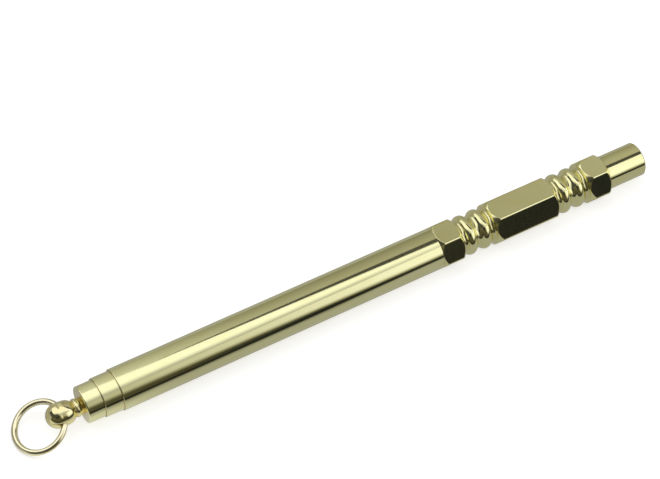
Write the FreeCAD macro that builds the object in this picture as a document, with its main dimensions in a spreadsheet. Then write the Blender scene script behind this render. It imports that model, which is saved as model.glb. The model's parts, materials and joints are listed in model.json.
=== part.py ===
"""Telescopic brass wand: a turned hexagon handle, three nested tubes and a ball end with a ring.

Millimetres. +X runs along the tool to the handle's tip, +Z is up. The closed tool lies on a flat
of its hexagon handle, with the origin under the middle of its length.
"""
import FreeCAD, Part
import math
import os
import Sketcher
from types import SimpleNamespace

Vector, Rotation, Placement = FreeCAD.Vector, FreeCAD.Rotation, FreeCAD.Placement
X_AXIS, Y_AXIS, Z_AXIS = Vector(1, 0, 0), Vector(0, 1, 0), Vector(0, 0, 1)

SIZES = {
    # barrel and sleeves: outside diameters, and how far each sleeve shows past the next mouth
    "barrel_od": 8.0, "middle_od": 7.54, "inner_od": 7.06, "wall": 0.15,
    "barrel_length": 66.2, "middle_show": 3.52, "inner_show": 3.23,
    "lip_length": 1.5, "lip_fit": 0.02, "rim_chamfer": 0.12, "rim_depth": 0.3, "rim_hole": 5.8,
    # turned bushes in the sleeves' tails, with the groove that holds the friction springs
    "shank_length": 2.5, "head_length": 4.0, "head_flange": 0.6, "head_fit": 0.02,
    "bush_bore": 5.0, "tail_gap": 0.5,
    "spring_thickness": 0.12, "spring_fit": 0.015, "spring_end_gap": 0.05, "spring_arc": 165.0,
    # handle, turned from hexagon bar
    "hex_flats": 8.0, "hex_clear": 4.8, "nose_length": 0.8, "long_nose": 1.15, "nose_small": 7.9,
    "spigot_length": 8.0,
    "collar_length": 4.7, "grip_length": 13.65,
    "bead_width": 1.75, "bead_round": 1.157, "bead_foot": 3.5,
    "middle_cove": 1.35, "middle_round": 0.909, "end_cove": 1.15, "end_round": 0.62, "wall_foot": 3.82,
    "tip_length": 8.4, "tip_od": 6.65, "tip_chamfer": 0.25,
    # ball end and ring
    "ball_radius": 2.3, "ball_to_face": 4.58, "pear_start": 0.3, "pear_radius": 2.25,
    "bulge_at": 1.9, "bulge_radius": 2.18, "shoulder_at": 2.6, "shoulder_radius": 1.92,
    "waist_at": 2.95, "waist_radius": 1.5, "collar_at": 3.15, "collar_radius": 1.75,
    "collar_width": 0.6, "neck_radius": 1.58, "stem_radius": 0.9, "cap_length": 2.3,
    "rivet_radius": 1.4, "rivet_length": 0.5, "cross_hole": 2.2, "hole_at": 0.5,
    "ring_radius": 4.8, "ring_wire": 0.575, "ring_offset": 4.37,
    # how the loose ring lies: moved a little round through the hole, and dropped onto the surface
    "ring_round": 5.0, "ring_drop": 21.95,
}

doc = FreeCAD.newDocument("wand")
sheet = doc.addObject("Spreadsheet::Sheet", "Dims")
for row, (alias, number) in enumerate(SIZES.items(), start=1):
    sheet.set(f"A{row}", alias)
    sheet.set(f"B{row}", str(number))
    sheet.setAlias(f"B{row}", alias)
doc.recompute()


class Size:
    """A size known both as a number and as an expression in the sheet's cells."""

    def __init__(self, text, value):
        self.text = text
        self.value = value

    def _with(self, sign, other, value):
        return Size(f"({self.text} {sign} {as_size(other).text})", value)

    def __add__(self, other):
        return self._with("+", other, self.value + as_size(other).value)

    def __sub__(self, other):
        return self._with("-", other, self.value - as_size(other).value)

    def __mul__(self, other):
        return self._with("*", other, self.value * as_size(other).value)

    def __truediv__(self, other):
        return self._with("/", other, self.value / as_size(other).value)


def as_size(number):
    return number if isinstance(number, Size) else Size(str(number), float(number))


d = SimpleNamespace(**{alias: Size(f"Dims.{alias}", number) for alias, number in SIZES.items()})
ZERO = as_size(0)


# ---------------------------------------------------------------- helpers

def origin_plane(body, role):
    return next(item for item in body.Origin.OriginFeatures if item.Role == role)


def new_sketch(body, name, role):
    sketch = body.newObject("Sketcher::SketchObject", name)
    sketch.AttachmentSupport = (origin_plane(body, role), [""])
    sketch.MapMode = "FlatFace"
    return sketch


def rounded(start, end, radius, side):
    """A short arc from start to end: a bead where side is 1, a hollow where it is -1."""
    first = Vector(start[0].value, start[1].value, 0)
    last = Vector(end[0].value, end[1].value, 0)
    chord = last - first
    inward = Vector(chord.y, -chord.x, 0).normalize() * side
    centre = (first + last) / 2 + inward * math.sqrt(radius.value ** 2 - (chord.Length / 2) ** 2)
    left, right = (math.atan2(point.y - centre.y, point.x - centre.x) for point in (first, last))
    circle = Part.Circle(centre, Z_AXIS, radius.value)
    return Part.ArcOfCircle(circle, *((right, left) if side > 0 else (left, right)))


def draw_outline(sketch, corners):
    """Close the corners (x, radius) with lines, or with an arc where a corner adds its radius and side."""
    def bind(kind, geometry, place, size):
        index = sketch.addConstraint(Sketcher.Constraint(kind, -1, 1, geometry, place, size.value))
        sketch.setExpression(f"Constraints[{index}]", size.text)

    ends = []
    for number, corner in enumerate(corners):
        following = corners[(number + 1) % len(corners)]
        if len(corner) == 4:
            radius, side = corner[2:]
            geometry = sketch.addGeometry(rounded(corner, following, radius, side), False)
            index = sketch.addConstraint(Sketcher.Constraint("Radius", geometry, radius.value))
            sketch.setExpression(f"Constraints[{index}]", radius.text)
            ends.append((geometry, 2, 1) if side > 0 else (geometry, 1, 2))
        else:
            line = Part.LineSegment(Vector(corner[0].value, corner[1].value, 0),
                                    Vector(following[0].value, following[1].value, 0))
            ends.append((sketch.addGeometry(line, False), 1, 2))
    for number, (geometry, first, _) in enumerate(ends):
        before, _, last = ends[number - 1]
        sketch.addConstraint(Sketcher.Constraint("Coincident", before, last, geometry, first))
        x, radius = corners[number][:2]
        if x is ZERO:
            sketch.addConstraint(Sketcher.Constraint("PointOnObject", geometry, first, -2))
        else:
            bind("DistanceX", geometry, first, x)
        if radius is ZERO:
            sketch.addConstraint(Sketcher.Constraint("PointOnObject", geometry, first, -1))
        else:
            bind("DistanceY", geometry, first, radius)


def revolve(body, corners):
    """A lathe-turned feature about the body's X axis."""
    sketch = new_sketch(body, f"{body.Name}_outline", "XZ_Plane")
    draw_outline(sketch, corners)
    turning = body.newObject("PartDesign::Revolution", f"{body.Name}_turning")
    turning.Profile = sketch
    turning.ReferenceAxis = (sketch, ["H_Axis"])
    turning.Angle = 360
    return turning


def turned(name, corners):
    body = doc.addObject("PartDesign::Body", name)
    revolve(body, corners)
    return body


def bound(kind, name, **sizes):
    """A Part primitive whose properties follow the sheet."""
    item = doc.addObject(kind, name)
    for key, size in sizes.items():
        item.setExpression(key, size.text)
    return item


parts = []


def place(item, node, station):
    """Put an item's own origin at a station along the tool, counted from the barrel's mouth."""
    item.Label = node
    item.Placement = Placement(Vector(mouth_x + station.value, 0, axis_height), Rotation())
    parts.append(item)


# ---------------------------------------------------------------- stations and derived sizes

bead_run = d.end_cove * 2 + d.bead_width * 2 + d.middle_cove
handle_length = d.collar_length * 2 + bead_run * 2 + d.grip_length + d.tip_length
face_station = ZERO - d.middle_show - d.inner_show
ball_station = face_station - d.ball_to_face
hole_station = ball_station + d.hole_at
ring_centre = d.ring_offset.value * math.cos(math.radians(d.ring_round.value))
ring_reach = (ring_centre + d.ring_radius.value) * math.cos(math.radians(d.ring_drop.value))
tip_end = (d.barrel_length + handle_length).value
ring_end = hole_station.value - ring_reach - d.ring_wire.value
mouth_x = -(tip_end + ring_end) / 2
axis_height = d.hex_flats.value / 2

barrel_bore = d.barrel_od - d.wall * 2
middle_bore = d.middle_od - d.wall * 2
inner_bore = d.inner_od - d.wall * 2
middle_tail = d.barrel_length - d.spigot_length - d.tail_gap - d.head_length
inner_tail = middle_tail - d.shank_length - d.tail_gap - d.head_length


# ---------------------------------------------------------------- handle

def hexagon(start, length, left_nose):
    """The turned outline of one hexagon: clear of the bar's corners, with a cone at both ends."""
    steepness = (d.hex_clear - d.nose_small / 2) / (d.hex_flats / math.sqrt(3) - d.nose_small / 2)
    return [(start, d.nose_small / 2), (start + left_nose * steepness, d.hex_clear),
            (start + length - d.nose_length * steepness, d.hex_clear), (start + length, d.nose_small / 2)]


def beads(start):
    """Two round beads between three hollows; the outer hollows rise to the hexagons' end walls."""
    first = start + d.end_cove
    second = first + d.bead_width + d.middle_cove
    last = second + d.bead_width
    return [(start, d.wall_foot, d.end_round, -1), (first, d.bead_foot, d.bead_round, 1),
            (first + d.bead_width, d.bead_foot, d.middle_round, -1), (second, d.bead_foot, d.bead_round, 1),
            (last, d.bead_foot, d.end_round, -1), (last + d.end_cove, d.wall_foot)]


collar_1 = d.spigot_length
beads_1 = collar_1 + d.collar_length
grip = beads_1 + bead_run
beads_2 = grip + d.grip_length
collar_2 = beads_2 + bead_run
tip = collar_2 + d.collar_length
tip_face = tip + d.tip_length
handle_outline = (
    [(ZERO, ZERO), (ZERO, barrel_bore / 2), (collar_1, barrel_bore / 2)]
    + hexagon(collar_1, d.collar_length, d.nose_length) + beads(beads_1)
    + hexagon(grip, d.grip_length, d.long_nose) + beads(beads_2)
    + hexagon(collar_2, d.collar_length, d.long_nose)
    + [(tip, d.tip_od / 2), (tip_face - d.tip_chamfer, d.tip_od / 2),
       (tip_face, d.tip_od / 2 - d.tip_chamfer), (tip_face, ZERO)]
)
turning = turned("handle_turning", handle_outline)
hexagon_bar = bound("Part::Prism", "hexagon_bar", Circumradius=d.hex_flats / math.sqrt(3), Height=tip_face)
hexagon_bar.Polygon = 6
hexagon_bar.Placement.Rotation = Rotation(Z_AXIS, X_AXIS) * Rotation(Z_AXIS, 90)
handle = doc.addObject("Part::Common", "handle_common")
handle.Base = turning
handle.Tool = hexagon_bar
place(handle, "handle", d.barrel_length - d.spigot_length)


# ---------------------------------------------------------------- tubes

def open_tube(node, start, length, outside, bore, lip_bore):
    """A thin tube whose left mouth is rolled inwards to guide the next one."""
    lip = d.lip_length
    place(turned(f"{node}_body", [
        (ZERO, lip_bore / 2), (ZERO, outside / 2 - d.rim_chamfer), (d.rim_chamfer, outside / 2),
        (length, outside / 2), (length, bore / 2), (lip, bore / 2), (lip, lip_bore / 2),
    ]), node, start)


open_tube("barrel_tube", ZERO, d.barrel_length, d.barrel_od, barrel_bore, d.middle_od + d.lip_fit * 2)
open_tube("middle_tube", ZERO - d.middle_show, middle_tail + d.middle_show,
          d.middle_od, middle_bore, d.inner_od + d.lip_fit * 2)

inner_length = inner_tail - face_station
place(turned("inner_tube_body", [
    (ZERO, d.rim_hole / 2), (ZERO, d.inner_od / 2 - d.rim_chamfer), (d.rim_chamfer, d.inner_od / 2),
    (inner_length, d.inner_od / 2), (inner_length, inner_bore / 2),
    (d.rim_depth, inner_bore / 2), (d.rim_depth, d.rim_hole / 2),
]), "inner_tube", face_station)


# ---------------------------------------------------------------- tail bushes and friction springs

def tail_bush(node, tail, tube_bore, running_bore):
    """The shank is pressed into the sleeve's tail; the head slides in the next tube's bore."""
    shank, head = d.shank_length, running_bore / 2 - d.head_fit
    floor = running_bore / 2 - d.spring_thickness - d.spring_fit * 2
    end = shank + d.head_length
    place(turned(f"{node}_body", [
        (ZERO, d.bush_bore / 2), (ZERO, tube_bore / 2), (shank, tube_bore / 2), (shank, head),
        (shank + d.head_flange, head), (shank + d.head_flange, floor),
        (end - d.head_flange, floor), (end - d.head_flange, head), (end, head), (end, d.bush_bore / 2),
    ]), node, tail - shank)


def friction_springs(stem, tail, running_bore):
    """Two half-round strips that lie in the bush's groove and press on the next tube's bore."""
    outside = running_bore / 2 - d.spring_fit
    length = d.head_length - d.head_flange * 2 - d.spring_end_gap * 2
    start = tail + d.head_flange + d.spring_end_gap
    for name, facing in (("upper", 0.0), ("lower", 180.0)):
        node = f"{stem}_{name}"
        outer = bound("Part::Cylinder", f"{node}_outer", Radius=outside, Height=length, Angle=d.spring_arc)
        inner = bound("Part::Cylinder", f"{node}_inner", Radius=outside - d.spring_thickness, Height=length)
        strip = doc.addObject("Part::Cut", f"{node}_strip")
        strip.Base = outer
        strip.Tool = inner
        place(strip, node, start)
        along = Rotation(Z_AXIS, X_AXIS) * Rotation(Z_AXIS, 180 - d.spring_arc.value / 2)
        strip.Placement.Rotation = Rotation(X_AXIS, facing) * along


tail_bush("middle_tail_bush", middle_tail, middle_bore, barrel_bore)
friction_springs("middle_spring", middle_tail, barrel_bore)
tail_bush("inner_tail_bush", inner_tail, inner_bore, middle_bore)
friction_springs("inner_spring", inner_tail, middle_bore)


# ---------------------------------------------------------------- closed end, ball and ring

boss = d.rim_hole / 2
place(turned("end_cap_body", [
    (ZERO, d.stem_radius), (ZERO, boss), (d.rim_depth, boss), (d.rim_depth, inner_bore / 2),
    (d.cap_length, inner_bore / 2), (d.cap_length, d.stem_radius),
]), "end_cap", face_station)

finial = doc.addObject("PartDesign::Body", "finial_body")
ball = finial.newObject("PartDesign::AdditiveSphere", "ball")
ball.setExpression("Radius", d.ball_radius.text)
collar_end = d.collar_at + d.collar_width
cap_back = d.ball_to_face + d.cap_length
rivet_end = cap_back + d.rivet_length
revolve(finial, [
    (ZERO, ZERO), (d.pear_start, d.pear_radius), (d.bulge_at, d.bulge_radius),
    (d.shoulder_at, d.shoulder_radius), (d.waist_at, d.waist_radius),
    (d.collar_at, d.waist_radius), (d.collar_at, d.collar_radius),
    (collar_end, d.collar_radius), (collar_end, d.neck_radius),
    (d.ball_to_face, d.neck_radius), (d.ball_to_face, d.stem_radius),
    (cap_back, d.stem_radius), (cap_back, d.rivet_radius),
    (rivet_end, d.rivet_radius), (rivet_end, ZERO),
])
doc.recompute()
hole = new_sketch(finial, "cross_hole_circle", "XZ_Plane")
hole.addGeometry(Part.Circle(Vector(d.hole_at.value, 0, 0), Z_AXIS, d.cross_hole.value / 2), False)
hole.addConstraint(Sketcher.Constraint("PointOnObject", 0, 3, -1))
hole.addConstraint(Sketcher.Constraint("DistanceX", -1, 1, 0, 3, d.hole_at.value))
hole.addConstraint(Sketcher.Constraint("Diameter", 0, d.cross_hole.value))
hole.setExpression("Constraints[1]", d.hole_at.text)
hole.setExpression("Constraints[2]", d.cross_hole.text)
solid_finial = finial.Shape.Volume
drilling = finial.newObject("PartDesign::Pocket", "cross_hole_drilling")
drilling.Profile = hole
drilling.Type = "ThroughAll"
drilling.SideType = "Symmetric"
doc.recompute()
if finial.Shape.Volume > solid_finial - math.pi * d.cross_hole.value ** 2 / 4 * d.ball_radius.value:
    raise RuntimeError("the cross hole isn't cut through the ball")
place(finial, "ball_finial", ball_station)

ring = bound("Part::Torus", "ring_torus", Radius1=d.ring_radius, Radius2=d.ring_wire)
place(ring, "pull_ring", hole_station)
lie = Rotation(Y_AXIS, -d.ring_drop.value) * Rotation(Z_AXIS, -d.ring_round.value)
back = Placement(X_AXIS * -d.ring_offset.value, Rotation())
ring.Placement = ring.Placement * Placement(Vector(), lie) * back


# ---------------------------------------------------------------- check and write

doc.recompute()
for item in doc.Objects:
    if "Invalid" in item.State or "Error" in item.State:
        raise RuntimeError(f"{item.Name} failed: {item.State}")
os.makedirs("parts", exist_ok=True)
for part in parts:
    if part.Shape.isNull() or not part.Shape.isValid():
        raise RuntimeError(f"{part.Label} has no valid shape")
    part.Shape.exportStep(f"parts/{part.Label}.step")
    print(f"{part.Label:22s} {len(part.Shape.Solids)} solid  {part.Shape.Volume:9.2f} mm3")
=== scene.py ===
"""Looks of the telescopic brass wand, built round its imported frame.

Metres in the row frame: +X runs along the tool to the handle's plain tip, +Z is up, and the tool lies on
z = 0. Small sizes are written in millimetres, times MM.
"""
import json
import math

import bpy
from mathutils import Matrix, Quaternion, Vector
from mathutils.geometry import interpolate_bezier


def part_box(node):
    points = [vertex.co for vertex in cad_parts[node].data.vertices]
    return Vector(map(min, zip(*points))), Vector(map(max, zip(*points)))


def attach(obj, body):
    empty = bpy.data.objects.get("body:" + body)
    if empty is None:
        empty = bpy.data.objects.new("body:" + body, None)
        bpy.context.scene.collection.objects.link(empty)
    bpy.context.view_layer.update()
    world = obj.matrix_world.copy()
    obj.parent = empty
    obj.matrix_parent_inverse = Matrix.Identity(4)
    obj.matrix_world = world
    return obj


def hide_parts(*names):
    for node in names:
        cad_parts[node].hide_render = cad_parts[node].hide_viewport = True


MM = 0.001
DEGREE = math.pi / 180
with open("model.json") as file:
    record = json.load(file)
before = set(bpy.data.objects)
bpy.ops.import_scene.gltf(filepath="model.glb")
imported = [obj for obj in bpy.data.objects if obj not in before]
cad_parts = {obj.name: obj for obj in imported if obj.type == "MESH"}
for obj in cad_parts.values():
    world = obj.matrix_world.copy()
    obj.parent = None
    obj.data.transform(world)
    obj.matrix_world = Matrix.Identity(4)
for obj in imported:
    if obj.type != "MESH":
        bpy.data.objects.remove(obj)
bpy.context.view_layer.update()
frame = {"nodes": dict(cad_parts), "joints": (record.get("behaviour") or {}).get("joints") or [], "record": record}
scene = bpy.context.scene
scene.view_settings.view_transform = "Standard"


# ---------------------------------------------------------------- places, from the frame

def ends(node):
    """Where a node starts and ends along the tool."""
    low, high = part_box(node)
    return low.x, high.x


handle_start, handle_end = ends("handle")
barrel_mouth, barrel_end = ends("barrel_tube")
axis_height = sum(corner.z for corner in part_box("barrel_tube")) / 2
ring_swing = next(joint for joint in frame["joints"] if joint["name"] == "ring_swing")
hole_centre = Vector(ring_swing["pos_m"])


# ---------------------------------------------------------------- outlines

FILLET_STEPS, ARC_STEPS, CIRCLE_STEPS = 4, 18, 180
LONGEST_FACE = 1.5 * MM
HOLD = 0.06 * MM
FULL_CIRCLE = [2 * math.pi * number / CIRCLE_STEPS for number in range(CIRCLE_STEPS)]


def soften(corners):
    """A smooth outline through corners (x, radius) or (x, radius, fillet): each fillet becomes an arc."""
    points = []
    count = len(corners)
    for number, corner in enumerate(corners):
        here = Vector(corner[:2])
        if len(corner) == 2:
            points.append(here)
            continue
        back = Vector(corners[number - 1][:2]) - here
        ahead = Vector(corners[(number + 1) % count][:2]) - here
        half = back.angle(ahead) / 2
        reach = min(corner[2] / math.tan(half), back.length * 0.49, ahead.length * 0.49)
        start, end = back.normalized() * reach, ahead.normalized() * reach
        centre = (start + end).normalized() * (reach / math.cos(half))
        for step in range(FILLET_STEPS + 1):
            spoke = (start - centre).slerp(end - centre, step / FILLET_STEPS)
            points.append(here + centre + spoke.normalized() * reach * math.tan(half))
    return points


def divide(columns, closed):
    """Give long straight stretches more points, as many in each column.

    Two of them hold each end, so that the shading stays flat up to the edge.
    """
    count = len(columns[0])
    divided = [[] for _ in columns]
    for row in range(count):
        following = (row + 1) % count
        length = max((column[following] - column[row]).length for column in columns)
        shares = []
        if length > LONGEST_FACE and (closed or following):
            pieces = math.ceil(length / LONGEST_FACE)
            shares = [part / pieces for part in range(1, pieces)]
            if closed or 0 < row < count - 2:
                shares = [HOLD / length, *shares, 1 - HOLD / length]
        for column, points in zip(columns, divided):
            points += [column[row], *(column[row].lerp(column[following], share) for share in shares)]
    return divided


def rounded(start, end, radius, side):
    """Points of a short arc between two corners: a bead where side is 1, a hollow where it is -1."""
    first, last = Vector(start), Vector(end)
    chord = last - first
    inward = Vector((chord.y, -chord.x)).normalized() * side
    centre = (first + last) / 2 + inward * math.sqrt(radius ** 2 - (chord.length / 2) ** 2)
    left, right = first - centre, last - centre
    return [tuple(centre + left.slerp(right, step / ARC_STEPS).normalized() * radius)
            for step in range(1, ARC_STEPS)]


# ---------------------------------------------------------------- meshes

def mesh_object(name, vertices, faces):
    mesh = bpy.data.meshes.new(name)
    mesh.from_pydata(vertices, [], faces)
    mesh.validate()
    mesh.shade_smooth()
    piece = bpy.data.objects.new(name, mesh)
    scene.collection.objects.link(piece)
    return piece


def keep_flats(piece):
    """Large faces keep their own direction, so a narrow rounded edge stays narrow in the shading."""
    normals = piece.modifiers.new("flat_faces", "WEIGHTED_NORMAL")
    normals.weight = 100
    return piece


def lathe(name, outline, closed=True, angles=FULL_CIRCLE, centre=None):
    """Sweep an outline of (x, radius) points round the tool's axis.

    outline may be a function of the angle that gives the same number of points each time. An outline
    that isn't closed starts and ends on the axis.
    """
    centre = centre or Vector((0, 0, axis_height))
    columns = divide([outline(angle) if callable(outline) else outline for angle in angles], closed)
    inner = columns if closed else [column[1:-1] for column in columns]
    count = len(inner[0])
    vertices = [centre + Vector((x, radius * math.cos(angle), radius * math.sin(angle)))
                for angle, column in zip(angles, inner) for x, radius in column]
    faces = []
    for number in range(len(angles)):
        here, following = number * count, (number + 1) % len(angles) * count
        for row in range(count if closed else count - 1):
            below = (row + 1) % count
            faces.append((here + row, here + below, following + below, following + row))
        if not closed:
            faces.append((here, following, len(vertices)))
            faces.append((following + count - 1, here + count - 1, len(vertices) + 1))
    if not closed:
        vertices += [centre + Vector((columns[0][end][0], 0, 0)) for end in (0, -1)]
    return keep_flats(mesh_object(name, vertices, faces))


# ---------------------------------------------------------------- handle

HEX_APOTHEM = 4.0 * MM
HEX_EDGE = 0.38 * MM
HEX_CORNER = HEX_APOTHEM / math.cos(30 * DEGREE)
EDGE_CENTRE = (HEX_APOTHEM - HEX_EDGE) / math.cos(30 * DEGREE)
FLAT_END = math.atan((HEX_APOTHEM - HEX_EDGE) * math.tan(30 * DEGREE) / HEX_APOTHEM)
NOSE_RADIUS, NOSE_LENGTH, LONG_NOSE = 3.95 * MM, 0.8 * MM, 1.15 * MM
SPIGOT_RADIUS = 3.85 * MM
BEAD_WIDTH, BEAD_ROUND, BEAD_FOOT = 1.75 * MM, 1.157 * MM, 3.5 * MM
MIDDLE_COVE, MIDDLE_ROUND = 1.35 * MM, 0.909 * MM
END_COVE, END_ROUND, WALL_FOOT = 1.15 * MM, 0.62 * MM, 3.82 * MM
COLLAR, GRIP = 4.7 * MM, 13.65 * MM
TIP_RADIUS, TIP_CHAMFER = 3.325 * MM, 0.25 * MM
SHARP, SOFT, NOSE_EDGE = 0.04 * MM, 0.08 * MM, 0.12 * MM


def hexagon_radius(angle):
    """Distance from the axis to a hexagon with a flat on top and slightly rounded edges."""
    from_flat = abs((angle / DEGREE - 60) % 60 - 30) * DEGREE
    if from_flat <= FLAT_END:
        return HEX_APOTHEM / math.cos(from_flat)
    from_edge = 30 * DEGREE - from_flat
    return (EDGE_CENTRE * math.cos(from_edge)
            + math.sqrt(HEX_EDGE ** 2 - (EDGE_CENTRE * math.sin(from_edge)) ** 2))


def hexagon_angles(on_flat=26, on_edge=6):
    """Angles that follow a hexagon's flats evenly and its rounded edges closely."""
    angles = []
    for side in range(6):
        middle = (30 + 60 * side) * DEGREE
        angles += [middle - FLAT_END + 2 * FLAT_END * step / on_flat for step in range(on_flat)]
        for step in range(on_edge):
            swing = (60 * step / on_edge - 30) * DEGREE
            across = HEX_EDGE * math.sin(swing)
            out = EDGE_CENTRE + HEX_EDGE * math.cos(swing)
            angles.append(middle + 30 * DEGREE + math.atan2(across, out))
    return angles


def hexagon(start, length, reach, left_nose):
    """A stretch of hexagon bar between two turned noses, where the bar's surface is at radius reach."""
    share = (reach - NOSE_RADIUS) / (HEX_CORNER - NOSE_RADIUS)
    return [(start, NOSE_RADIUS, SHARP), (start + left_nose * share, reach, NOSE_EDGE),
            (start + length - NOSE_LENGTH * share, reach, NOSE_EDGE), (start + length, NOSE_RADIUS, SHARP)]


def beads(start):
    """Two round beads between three hollows, and the place where the next hexagon starts."""
    stations = [start, END_COVE, BEAD_WIDTH, MIDDLE_COVE, BEAD_WIDTH, END_COVE]
    stations = [sum(stations[:number + 1]) for number in range(6)]
    feet = list(zip(stations, [WALL_FOOT, BEAD_FOOT, BEAD_FOOT, BEAD_FOOT, BEAD_FOOT, WALL_FOOT]))
    curves = [(END_ROUND, -1), (BEAD_ROUND, 1), (MIDDLE_ROUND, -1), (BEAD_ROUND, 1), (END_ROUND, -1)]
    corners = []
    for foot, following, (radius, side) in zip(feet, feet[1:], curves):
        corners += [(*foot, SHARP), *rounded(foot, following, radius, side)]
    return [*corners, (*feet[-1], SHARP)], stations[-1]


def handle_outline(angle):
    reach = hexagon_radius(angle)
    first_beads, grip = beads(barrel_end + COLLAR)
    second_beads, collar = beads(grip + GRIP)
    tip = collar + COLLAR
    return soften([
        (handle_start, 0), (handle_start, SPIGOT_RADIUS, SOFT), (barrel_end, SPIGOT_RADIUS),
        *hexagon(barrel_end, COLLAR, reach, NOSE_LENGTH), *first_beads,
        *hexagon(grip, GRIP, reach, LONG_NOSE), *second_beads,
        *hexagon(collar, COLLAR, reach, LONG_NOSE),
        (tip, TIP_RADIUS, SHARP), (handle_end - TIP_CHAMFER, TIP_RADIUS, SHARP),
        (handle_end, TIP_RADIUS - TIP_CHAMFER, SHARP), (handle_end, 0),
    ])


def make_handle():
    return lathe("turned_handle", handle_outline, closed=False, angles=hexagon_angles())


# ---------------------------------------------------------------- tubes

BARREL_RADIUS, MIDDLE_RADIUS, INNER_RADIUS = 4.0 * MM, 3.77 * MM, 3.53 * MM
WALL, LIP_LENGTH, LIP_FIT, ROLL = 0.15 * MM, 1.5 * MM, 0.02 * MM, 0.2 * MM
CAP_FACE_RADIUS, CAP_FACE_DEPTH = 2.9 * MM, 0.3 * MM


def open_tube(name, node, radius, next_radius):
    """A thin tube whose mouth is rolled inwards to guide the next sleeve."""
    start, end = ends(node)
    bore, lip = radius - WALL, next_radius + LIP_FIT
    return lathe(name, soften([
        (start, lip, SHARP), (start, radius, ROLL), (end, radius, SHARP), (end, bore, SHARP),
        (start + LIP_LENGTH, bore, SHARP), (start + LIP_LENGTH, lip, SHARP),
    ]))


def make_inner_tube():
    start, end = ends("inner_tube")
    bore = INNER_RADIUS - WALL
    return lathe("inner_sleeve_tube", soften([
        (start, CAP_FACE_RADIUS, SHARP), (start, INNER_RADIUS, ROLL), (end, INNER_RADIUS, SHARP),
        (end, bore, SHARP), (start + CAP_FACE_DEPTH, bore), (start + CAP_FACE_DEPTH, CAP_FACE_RADIUS),
    ]))


def make_end_cap():
    start, end = ends("end_cap")
    bore = INNER_RADIUS - WALL
    return lathe("closing_cap", soften([
        (start, STEM_RADIUS), (start, CAP_FACE_RADIUS, SHARP), (start + CAP_FACE_DEPTH, CAP_FACE_RADIUS),
        (start + CAP_FACE_DEPTH, bore), (end, bore, SOFT), (end, STEM_RADIUS),
    ]))


# ---------------------------------------------------------------- ball end and ring

BALL_RADIUS, BALL_STEPS = 2.3 * MM, 44
BULGE_FROM = 84 * DEGREE
BULGE = [(1.2 * MM, 2.28 * MM), (1.84 * MM, 2.19 * MM), (2.3 * MM, 2.03 * MM), (2.65 * MM, 1.8 * MM)]
WAIST, WAIST_RADIUS = 2.95 * MM, 1.5 * MM
SMALL_COLLAR, COLLAR_WIDTH, COLLAR_RADIUS = 3.15 * MM, 0.6 * MM, 1.75 * MM
NECK_RADIUS, STEM_RADIUS, RIVET_RADIUS = 1.58 * MM, 0.9 * MM, 1.4 * MM
COLLAR_EDGE, RIVET_EDGE = 0.14 * MM, 0.2 * MM
HOLE_RADIUS, HOLE_FLARE, HOLE_AT = 1.1 * MM, 0.14 * MM, 0.5 * MM
RING_RADIUS, RING_WIRE, RING_OFFSET = 4.8 * MM, 0.575 * MM, 4.37 * MM
RING_ROUND, RING_DROP = 5 * DEGREE, 21.95 * DEGREE
RING_STEPS, WIRE_STEPS = 144, 32


def finial_outline():
    """The ball, drawn out into a waist, then the small collar, neck, stem and rivet head."""
    middle = hole_centre.x - HOLE_AT
    face, back = ends("end_cap")
    end = ends("ball_finial")[1]
    ball = [Vector((middle + BALL_RADIUS * math.cos(angle), BALL_RADIUS * math.sin(angle)))
            for angle in (math.pi - (math.pi - BULGE_FROM) * step / BALL_STEPS
                          for step in range(BALL_STEPS + 1))]
    bulge = smooth_line([ball[-2], ball[-1], *(Vector((middle + x, radius)) for x, radius in BULGE),
                         Vector((middle + WAIST, WAIST_RADIUS)), Vector((middle + WAIST, WAIST_RADIUS / 2))])
    collar = middle + SMALL_COLLAR
    lathed = soften([
        (middle + WAIST, WAIST_RADIUS), (collar, WAIST_RADIUS, SHARP), (collar, COLLAR_RADIUS, COLLAR_EDGE),
        (collar + COLLAR_WIDTH, COLLAR_RADIUS, COLLAR_EDGE), (collar + COLLAR_WIDTH, NECK_RADIUS, SOFT),
        (face, NECK_RADIUS), (face, STEM_RADIUS), (back, STEM_RADIUS),
        (back, RIVET_RADIUS, SOFT), (end, RIVET_RADIUS, RIVET_EDGE), (end, 0),
    ])
    return [Vector((middle - BALL_RADIUS, 0)), *ball[1:-1], *bulge, *lathed]


def smooth_line(points, steps=5):
    """A smooth curve through all points but the first and the last, which only steer its ends."""
    curve = []
    for before, start, end, after in zip(points, points[1:], points[2:], points[3:]):
        length = (end - start).length / 3
        leave, arrive = (end - before).normalized() * length, (after - start).normalized() * length
        curve += interpolate_bezier(start, start + leave, end - arrive, end, steps + 1)[:-1]
    return [Vector(point[:2]) for point in curve]


def hole_cutter():
    """A bar for the cross hole, widening where it leaves the ball, so that the hole's edge is round."""
    surface = math.sqrt(BALL_RADIUS ** 2 - HOLE_RADIUS ** 2)
    deep, outside = surface - HOLE_FLARE, BALL_RADIUS * 1.3
    flare = [(side * (deep + HOLE_FLARE * math.sin(angle)), HOLE_RADIUS + HOLE_FLARE * (1 - math.cos(angle)))
             for side in (-1, 1) for angle in (step * 15 * DEGREE for step in range(7))]
    outline = [(-outside, 0), (-outside, HOLE_RADIUS + HOLE_FLARE), *reversed(flare[:7]),
               *flare[7:], (outside, HOLE_RADIUS + HOLE_FLARE), (outside, 0)]
    bar = lathe("hole_cutter", [Vector(point) for point in outline], closed=False,
                angles=FULL_CIRCLE[::3], centre=Vector())
    bar.modifiers.clear()
    quarter = Matrix.Rotation(math.pi / 2, 4, "Z")
    bar.data.transform(Matrix.Translation(hole_centre) @ quarter)
    return bar


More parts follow.
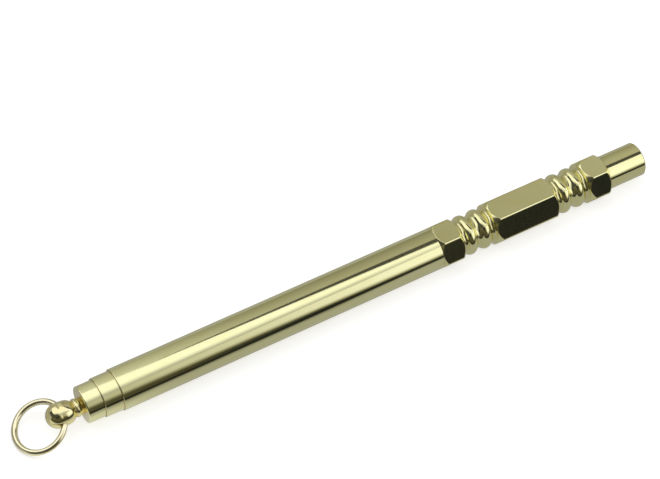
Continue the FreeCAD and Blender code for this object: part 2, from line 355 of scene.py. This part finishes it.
def make_finial():
    finial = lathe("ball_and_neck", finial_outline(), closed=False)
    cutter = hole_cutter()
    drill = finial.modifiers.new("cross_hole", "BOOLEAN")
    drill.object = cutter
    drill.solver = "EXACT"
    finial.modifiers.move(1, 0)
    graph = bpy.context.evaluated_depsgraph_get()
    drilled = bpy.data.meshes.new_from_object(finial.evaluated_get(graph))
    finial.modifiers.clear()
    finial.data = drilled
    bpy.data.objects.remove(cutter)
    return keep_flats(finial)


def make_ring():
    """A plain wire ring that hangs through the ball's hole and leans on the surface below."""
    lean = (Matrix.Translation(hole_centre) @ Matrix.Rotation(-RING_DROP, 4, "Y")
            @ Matrix.Rotation(-RING_ROUND, 4, "Z") @ Matrix.Translation((-RING_OFFSET, 0, 0)))
    vertices, faces = [], []
    for number in range(RING_STEPS):
        spoke = 2 * math.pi * number / RING_STEPS
        for turn in (2 * math.pi * step / WIRE_STEPS for step in range(WIRE_STEPS)):
            reach = RING_RADIUS + RING_WIRE * math.cos(turn)
            height = RING_WIRE * math.sin(turn)
            vertices.append(lean @ Vector((reach * math.cos(spoke), reach * math.sin(spoke), height)))
        here, following = number * WIRE_STEPS, (number + 1) % RING_STEPS * WIRE_STEPS
        for step in range(WIRE_STEPS):
            beside = (step + 1) % WIRE_STEPS
            faces.append((here + step, following + step, following + beside, here + beside))
    return mesh_object("wire_ring", vertices, faces)


# ---------------------------------------------------------------- shader helpers

class Nodes:
    """A node tree with short calls: add a node, set or link its inputs by name or number."""

    def __init__(self, tree):
        self.tree = tree

    def add(self, kind, inputs=None, **settings):
        node = self.tree.nodes.new(kind)
        for key, value in settings.items():
            setattr(node, key, value)
        self.feed(node, inputs or {})
        return node

    def feed(self, node, inputs):
        for key, value in inputs.items():
            if isinstance(value, bpy.types.NodeSocket):
                self.tree.links.new(value, node.inputs[key])
            else:
                node.inputs[key].default_value = value

    def math(self, operation, *values):
        return self.add("ShaderNodeMath", dict(enumerate(values)), operation=operation).outputs[0]

    def ramp(self, factor, stops):
        """A curve through (place, value) stops, with places from 0 to 1."""
        node = self.add("ShaderNodeValToRGB", {0: factor})
        elements = node.color_ramp.elements
        while len(elements) < len(stops):
            elements.new(0.5)
        for element, (place, value) in zip(elements, stops):
            element.position = place
            element.color = (*value, 1) if isinstance(value, tuple) else (value, value, value, 1)
        return node.outputs["Color"]

    def smooth(self, value, low, high):
        """0 below low and 1 above high."""
        return self.add("ShaderNodeMapRange", {"Value": value, "From Min": low, "From Max": high},
                        interpolation_type="SMOOTHSTEP").outputs[0]

    def rise(self, value, low, high, height, base):
        """base below low and base + height above high."""
        return self.math("MULTIPLY_ADD", self.smooth(value, low, high), height, base)

    def mix(self, share, first, second):
        return self.add("ShaderNodeMix", {0: share, 2: first, 3: second}).outputs[0]

    def along_across(self):
        """A place's distances along and across the tool."""
        place = self.add("ShaderNodeTexCoord").outputs["Object"]
        return self.add("ShaderNodeSeparateXYZ", {0: place}).outputs[:2]

    def noise(self, place, stretch, detail):
        """Noise with its own scale along each axis, in cycles per metre."""
        scaled = self.add("ShaderNodeMapping", {"Vector": place, "Scale": stretch}).outputs[0]
        return self.add("ShaderNodeTexNoise", {"Vector": scaled, "Scale": 1.0, "Detail": detail}).outputs[0]


def empty_nodes(owner):
    """The emptied node tree of a material or a world."""
    owner.use_nodes = True
    owner.node_tree.nodes.clear()
    return Nodes(owner.node_tree)


# ---------------------------------------------------------------- materials

CLOUDS = (260, 700, 700)
ROUND_MARKS = (9000, 400, 400)
LONG_MARKS = (90, 5000, 5000)
MARK_DEPTH = 0.0004 * MM
GROOVE_REACH = 0.8 * MM
# Colours of the painted shade in grooves and recesses, which also stands for polish residue: brown on most brass,
# golden on the ball end.
BROWN, GOLD = (0.50, 0.38, 0.20), (0.88, 0.76, 0.40)


def brass(name, bright, dull, roughness, lines, groove_shade_and_residue=BROWN):
    """Polished brass: a tone that varies slowly, painted shade in the grooves that also stands for polish residue
    there, and fine tool marks along lines.
    """
    material = bpy.data.materials.new(name)
    material.use_nodes = True
    nodes = Nodes(material.node_tree)
    shader = material.node_tree.nodes["Principled BSDF"]
    place = nodes.add("ShaderNodeTexCoord").outputs["Object"]
    cloud = nodes.noise(place, CLOUDS, 3.0)
    tone = nodes.ramp(nodes.smooth(cloud, 0.35, 0.72), [(0, bright), (1, dull)])
    # Painted shade: where nearby parts close a place in, the tone turns towards the groove colour and darkens
    # grooves and recesses; partly it stands for polish residue.
    open_air = nodes.add("ShaderNodeAmbientOcclusion", {"Distance": GROOVE_REACH}, samples=6).outputs["AO"]
    groove_shade_mask = nodes.smooth(open_air, 0.95, 0.45)
    tone = nodes.add("ShaderNodeMix", {"Factor": groove_shade_mask, 6: tone, 7: (*groove_shade_and_residue, 1)},
                     data_type="RGBA").outputs[2]
    marks = nodes.noise(place, lines, 2.0)
    shine = nodes.add("ShaderNodeMapRange", {"Value": marks, "From Min": 0.3, "From Max": 0.7,
                                             "To Min": roughness * 0.8, "To Max": roughness * 1.3}).outputs[0]
    bump = nodes.add("ShaderNodeBump", {"Height": marks, "Strength": 1.0, "Distance": MARK_DEPTH})
    nodes.feed(shader, {"Base Color": tone, "Metallic": 1.0, "Roughness": shine, "Normal": bump.outputs[0]})
    return material


FINISHES = {
    "handle_brass": brass("handle_brass", (0.93, 0.90, 0.48), (0.92, 0.87, 0.43), 0.085, ROUND_MARKS),
    "tube_brass": brass("tube_brass", (0.93, 0.91, 0.50), (0.91, 0.88, 0.46), 0.09, LONG_MARKS),
    "finial_brass": brass("finial_brass", (0.93, 0.87, 0.48), (0.90, 0.81, 0.40), 0.085, ROUND_MARKS, GOLD),
    "ring_brass": brass("ring_brass", (0.99, 0.93, 0.62), (0.96, 0.88, 0.54), 0.16, LONG_MARKS),
    "hidden_brass": brass("hidden_brass", (0.88, 0.74, 0.34), (0.80, 0.62, 0.26), 0.22, ROUND_MARKS),
    "spring_bronze": brass("spring_bronze", (0.80, 0.52, 0.30), (0.70, 0.42, 0.22), 0.25, LONG_MARKS),
}


def finish(piece, slot):
    piece.data.materials.clear()
    piece.data.materials.append(FINISHES[slot])


# ---------------------------------------------------------------- pieces on their bodies

slots = {part["node"]: part["material_slot"] for part in frame["record"]["subparts"]}
bodies = frame["record"]["behaviour"]["bodies"]
made = {
    "handle": make_handle(),
    "barrel_tube": open_tube("outer_barrel", "barrel_tube", BARREL_RADIUS, MIDDLE_RADIUS),
    "middle_tube": open_tube("middle_sleeve_tube", "middle_tube", MIDDLE_RADIUS, INNER_RADIUS),
    "inner_tube": make_inner_tube(),
    "end_cap": make_end_cap(),
    "ball_finial": make_finial(),
    "pull_ring": make_ring(),
}
for body, members in bodies.items():
    for node in members:
        if node in made:
            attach(made[node], body)
            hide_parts(node)
        finish(made.get(node, frame["nodes"][node]), slots[node])


# ---------------------------------------------------------------- surroundings

VIEW_AZIMUTH, VIEW_ELEVATION, VIEW_ROLL = 32.907 * DEGREE, 54.071 * DEGREE, 4.078 * DEGREE
VIEW_DISTANCE, SENSOR, FOCAL_LENGTH = 456.33 * MM, 36, 133.24
AIM = Vector((barrel_mouth + 50.152 * MM, 10.9 * MM, axis_height))
towards_camera = Vector((-math.sin(VIEW_AZIMUTH) * math.cos(VIEW_ELEVATION),
                         -math.cos(VIEW_AZIMUTH) * math.cos(VIEW_ELEVATION), math.sin(VIEW_ELEVATION)))


def make_camera():
    lens = bpy.data.cameras.new("camera")
    lens.sensor_width, lens.lens = SENSOR, FOCAL_LENGTH
    lens.clip_start, lens.clip_end = 0.01, 10
    camera = bpy.data.objects.new("camera", lens)
    scene.collection.objects.link(camera)
    camera.location = AIM + towards_camera * VIEW_DISTANCE
    camera.rotation_mode = "QUATERNION"
    level = (-towards_camera).to_track_quat("-Z", "Y")
    camera.rotation_quaternion = level @ Quaternion((0, 0, 1), VIEW_ROLL)
    scene.camera = camera


def seen_by_camera(nodes, seen, reflected):
    """One shader for what the camera sees, and another for what the brass mirrors."""
    path = nodes.add("ShaderNodeLightPath")
    mix = nodes.add("ShaderNodeMixShader", {0: path.outputs["Is Camera Ray"], 1: reflected, 2: seen})
    return mix.outputs[0]


def level_by(nodes, value, stops, unit=1.0):
    """A curve of brightness against a value, through (value, brightness) stops. unit is the curve's end."""
    return nodes.ramp(value, [(place / unit, brightness) for place, brightness in stops])


# Along the tool, from 0 (straight across) to 1 (off its tip): the window's light, its sill's height as a
# share of half a turn, the light below the sill, and the wall behind.
WINDOW = [(0, 0.05), (0.14, 0.25), (0.224, 0.47), (0.275, 0.66), (0.324, 0.93), (0.352, 1.05), (0.43, 1.12),
          (1, 1.1)]
SILL = [(0.2, 31 / 180), (0.224, 28 / 180), (0.275, 22 / 180), (0.324, 14 / 180), (0.352, 10 / 180),
        (0.4, 14 / 180)]
GLOOM = [(0.19, 0.085), (0.25, 0.055), (0.3, 0.018)]
WALL_SHADE = [(0, 0.5), (0.2, 0.74), (0.224, 0.64), (0.275, 0.42), (0.35, 0.38), (0.43, 0.45), (1, 0.45)]
# Round the tool, in degrees up from the front: how the wall darkens behind.
WALL_FALL = [(118, 1), (180, 0.62)]
# The light's colour at each brightness: bluish in the dark, warm in the dim parts, and white in the bright.
TINT = [(0.02, (0.88, 1, 1.2)), (0.06, (1, 0.91, 0.58)), (0.2, (1, 0.95, 0.76)), (0.6, (1, 0.99, 0.98)),
        (1, (1, 1, 1.08))]
PERSON_LIGHT = 0.04


def make_world():
    """What the brass mirrors beyond the softbox: a window at the front right, a grey room behind.

    Where the viewer stands there is a dark round patch.
    """
    world = bpy.data.worlds.new("studio")
    scene.world = world
    nodes = empty_nodes(world)
    direction = nodes.add("ShaderNodeTexCoord").outputs["Generated"]
    along, across, up = nodes.add("ShaderNodeSeparateXYZ", {0: direction}).outputs
    swing = nodes.math("ARCTAN2", up, nodes.math("MULTIPLY", across, -1.0))
    half_turn = nodes.math("DIVIDE", swing, math.pi)
    window, sill = level_by(nodes, along, WINDOW), level_by(nodes, along, SILL)
    above_sill = nodes.smooth(nodes.math("SUBTRACT", half_turn, sill), -12 / 180, 12 / 180)
    front = nodes.math("MULTIPLY_ADD", window, above_sill, level_by(nodes, along, GLOOM))
    wall = level_by(nodes, along, WALL_SHADE)
    back = nodes.math("MULTIPLY", wall, level_by(nodes, half_turn, WALL_FALL, 180))
    behind = nodes.smooth(half_turn, 74 / 180, 82 / 180)
    room = nodes.mix(behind, front, back)
    facing = nodes.add("ShaderNodeVectorMath", {0: direction, 1: towards_camera},
                       operation="DOT_PRODUCT").outputs["Value"]
    person = nodes.smooth(facing, math.cos(29 * DEGREE), math.cos(22 * DEGREE))
    light = nodes.mix(person, room, PERSON_LIGHT)
    tint = nodes.ramp(light, TINT)
    white = nodes.add("ShaderNodeBackground", {"Strength": 1.0, "Color": (1, 1, 1, 1)}).outputs[0]
    mirrored = nodes.add("ShaderNodeBackground", {"Color": tint, "Strength": light}).outputs[0]
    surface = seen_by_camera(nodes, white, mirrored)
    nodes.add("ShaderNodeOutputWorld", {"Surface": surface})


# The outlines of the sheets over the tool, in millimetres along and across it.
SOFTBOX = [(-150, -215), (330, -215), (400, -110), (210, -75), (132, -37), (121, -21), (107, 0), (93, 21),
           (80, 42), (67, 58), (55, 86), (43, 109), (33, 146), (0, 300), (-40, 560), (-200, 720), (-275, 440),
           (-310, 260), (-300, 110), (-240, -34)]
FRAME = [(-800, -215), (480, -215), (480, -20), (290, 0), (190, 42), (160, 66), (120, 92), (98, 104),
         (72, 118), (46, 132), (33, 148), (4, 302), (-30, 600), (-210, 860), (-800, 740)]
SOFTBOX_HEIGHT, FRAME_HEIGHT = 300 * MM, 302 * MM
FULL_LIGHT, DARK_CARD, PALE_CORNER = 1.1, 0.07, 0.5


def overhead(name, outline, height, level):
    """A glowing sheet over the tool that only the brass and the table see.

    level gives its brightness from the sheet's nodes and the places along and across it.
    """
    sheet = mesh_object(name, [(x * MM, y * MM, height) for x, y in outline], [tuple(range(len(outline)))])
    material = bpy.data.materials.new(name)
    nodes = empty_nodes(material)
    strength = level(nodes, *nodes.along_across())
    glow = nodes.add("ShaderNodeEmission", {"Color": (1, 1, 1.06, 1), "Strength": strength}).outputs[0]
    nodes.add("ShaderNodeOutputMaterial", {"Surface": glow})
    sheet.data.materials.append(material)
    sheet.visible_camera = False


def softbox_level(nodes, along, across):
    """Full over the tool, and dimmer towards the near edge, most of all at its left."""
    near_left = nodes.rise(along, -130 * MM, 10 * MM, 0.42, 0.05)
    near = nodes.rise(along, 90 * MM, 240 * MM, 0.62, near_left)
    leftwards = nodes.math("MINIMUM", nodes.math("SUBTRACT", along, 85 * MM), 0.0)
    lean = nodes.math("MAXIMUM", leftwards, -300 * MM)
    slanted = nodes.math("MULTIPLY_ADD", lean, 0.4, across)
    return nodes.mix(nodes.smooth(slanted, -215 * MM, -60 * MM), near, FULL_LIGHT)


def frame_level(nodes, along, across):
    """Dark round the softbox, and paler at its far left corner."""
    far = nodes.smooth(nodes.math("MULTIPLY_ADD", along, 0.9, across), 0.0, 150 * MM)
    left = nodes.smooth(along, -120 * MM, -220 * MM)
    return nodes.math("MULTIPLY_ADD", nodes.math("MULTIPLY", far, left), PALE_CORNER, DARK_CARD)


FLOOR_HALF, FLOOR_HEIGHT = 1.5, -0.01 * MM
TABLE_LIGHT, TABLE_DARK = 0.37, 0.015


def make_floor():
    """A pale table, which the brass mirrors darker: almost black out in front, brightest by the sleeves."""
    floor = mesh_object("floor", [(x * FLOOR_HALF, y * FLOOR_HALF, FLOOR_HEIGHT)
                                  for x, y in ((-1, -1), (1, -1), (1, 1), (-1, 1))], [(0, 1, 2, 3)])
    material = bpy.data.materials.new("pale_table")
    nodes = empty_nodes(material)
    along, across = nodes.along_across()
    rightwards = nodes.math("MAXIMUM", along, 0.0)
    near = nodes.smooth(nodes.math("MULTIPLY_ADD", rightwards, 0.35, across), -38 * MM, -10 * MM)
    beside = nodes.rise(across, -14 * MM, -6 * MM, 0.22, 0.1)
    beside = nodes.math("MULTIPLY", beside, nodes.smooth(across, 2 * MM, -4 * MM))
    left = nodes.math("MULTIPLY", nodes.smooth(along, -30 * MM, -58 * MM), beside)
    level = nodes.math("MULTIPLY_ADD", near, nodes.math("ADD", left, TABLE_LIGHT), TABLE_DARK)
    mirrored = nodes.add("ShaderNodeEmission", {"Strength": level}).outputs[0]
    paper = nodes.add("ShaderNodeBsdfDiffuse", {"Color": (0.9, 0.9, 0.9, 1)}).outputs[0]
    glow = nodes.add("ShaderNodeEmission", {"Strength": 0.62}).outputs[0]
    seen = nodes.add("ShaderNodeAddShader", {0: paper, 1: glow}).outputs[0]
    nodes.add("ShaderNodeOutputMaterial", {"Surface": seen_by_camera(nodes, seen, mirrored)})
    floor.data.materials.append(material)


make_camera()
make_world()
overhead("softbox", SOFTBOX, SOFTBOX_HEIGHT, softbox_level)
overhead("softbox_frame", FRAME, FRAME_HEIGHT, frame_level)
make_floor()
